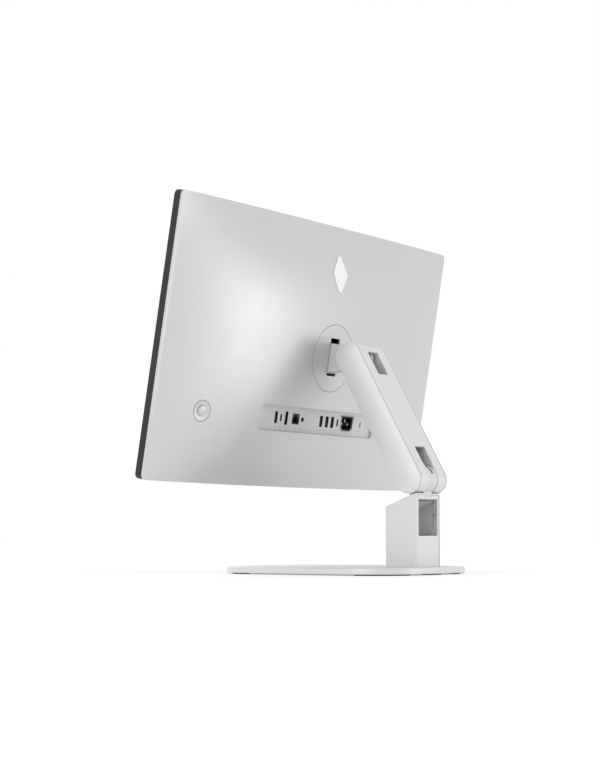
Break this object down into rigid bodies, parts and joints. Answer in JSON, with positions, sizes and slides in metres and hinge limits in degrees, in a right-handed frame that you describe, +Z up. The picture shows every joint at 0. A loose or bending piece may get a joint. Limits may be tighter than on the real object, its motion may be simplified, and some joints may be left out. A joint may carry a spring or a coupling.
{
  "type": "all-in-one computer",
  "caption": "All-in-one computer with a large flat screen, domed silver back with recessed sockets, a levelled lifting arm, a pillar with a cable window and a flat base plate.",
  "frame": {"origin": "on the desk surface under the middle of the base plate", "axes": "+Z up, +Y towards the back of the computer, the screen faces -Y and is longest along X"},
  "size_m": [0.612, 0.288, 0.469],
  "materials": {
    "dark_glass": "glossy front glass over a switched-off display",
    "black_plastic": "fine-grained black plastic",
    "silver_cover": "satin silver lacquer on moulded plastic",
    "bay_plastic": "fine-grained silver plastic",
    "polished_badge": "polished",
    "socket_metal": "plated sheet steel",
    "tongue_plastic": "black insulating plastic",
    "brass_blades": "plated brass",
    "display": "display module",
    "circuit_board": "solder-resist green",
    "processor_metal": "plated lid",
    "copper": "bare copper",
    "fin_aluminium": "bare fins",
    "sheet_steel": "zinc-plated sheet",
    "steel_hardware": "plated steel",
    "arm_silver": "satin silver paint",
    "cast_silver": "painted casting",
    "stand_silver": "satin silver paint",
    "duct_plastic": "grey plastic",
    "core_steel": "bent steel plate",
    "foot_rubber": "soft rubber"
  },
  "bodies": {
    "stand": {"link_pin_lower": "steel_hardware", "lift_pin": "steel_hardware", "lift_cams": "steel_hardware", "knuckle": "cast_silver", "pillar_shell": "stand_silver", "pillar_rear_cover": "stand_silver", "cable_duct": "duct_plastic", "pillar_core": "core_steel", "base_plate": "stand_silver", "base_screws": "steel_hardware", "rubber_feet": "foot_rubber"},
    "arm": {"arm_frame": "arm_silver", "arm_cover_left": "arm_silver", "arm_cover_right": "arm_silver", "lift_springs": "steel_hardware", "spring_rods": "steel_hardware", "spring_followers": "steel_hardware", "elbow_pin": "steel_hardware", "pivot_washers": "steel_hardware"},
    "levelling_link": {"levelling_link": "steel_hardware"},
    "head": {"head_link": "cast_silver", "link_pin_upper": "steel_hardware"},
    "screen": {"front_glass": "dark_glass", "front_frame": "black_plastic", "lcd_module": "display", "webcam_module": "black_plastic", "chassis_plate": "sheet_steel", "back_cover": "silver_cover", "mount_cover": "silver_cover", "badge": "polished_badge", "button_bezel": "silver_cover", "switch_board": "circuit_board", "connector_plate": "bay_plastic", "hdmi_socket": "socket_metal", "displayport_socket": "socket_metal", "usb_c_sockets": "socket_metal", "usb_a_sockets": "socket_metal", "lan_socket": "black_plastic", "audio_socket": "black_plastic", "power_inlet": "black_plastic", "inlet_blades": "brass_blades", "socket_tongues": "tongue_plastic", "lock_slot": "sheet_steel", "mainboard": "circuit_board", "board_screws": "steel_hardware", "processor": "processor_metal", "cold_plate": "copper", "heat_pipe": "copper", "heat_sink": "fin_aluminium", "fan_housing": "black_plastic", "power_supply": "sheet_steel", "memory_modules": "circuit_board", "solid_state_drive": "circuit_board", "speakers": "black_plastic", "hinge_bracket": "sheet_steel", "bracket_screws": "steel_hardware", "tilt_pin": "steel_hardware", "tilt_washers": "steel_hardware"},
    "power_button": {"power_button": "silver_cover"},
    "fan_rotor": {"fan_rotor": "black_plastic"}
  },
  "joints": [
    {"name": "arm_lift", "type": "hinge", "parent": "stand", "child": "arm", "pos_m": [0, 0.1182, 0.1212], "axis": [-1, 0, 0], "range_deg": [-36, 16]},
    {"name": "link_swing", "type": "hinge", "parent": "stand", "child": "levelling_link", "pos_m": [0, 0.12515, 0.12693], "axis": [-1, 0, 0], "range_deg": [-36, 16]},
    {"name": "head_level", "type": "hinge", "parent": "arm", "child": "head", "pos_m": [0, 0.02599, 0.28417], "axis": [-1, 0, 0], "range_deg": [-16, 36]},
    {"name": "screen_tilt", "type": "hinge", "parent": "head", "child": "screen", "pos_m": [0, -0.02963, 0.28675], "axis": [-1, 0, 0], "range_deg": [-15, 10]},
    {"name": "power_press", "type": "slide", "parent": "screen", "child": "power_button", "axis": [-0.1899, -0.9583, 0.2136], "range_m": [0, 0.0008], "stiffness_N_per_m": 1500},
    {"name": "fan_spin", "type": "hinge", "parent": "screen", "child": "fan_rotor", "pos_m": [0.092, -0.0406, 0.35162], "axis": [0, 0.985, -0.1726], "continuous": true}
  ],
  "couplings": [
    {"joint": "link_swing", "follows": "arm_lift", "ratio": 1},
    {"joint": "head_level", "follows": "arm_lift", "ratio": -1}
  ]
}
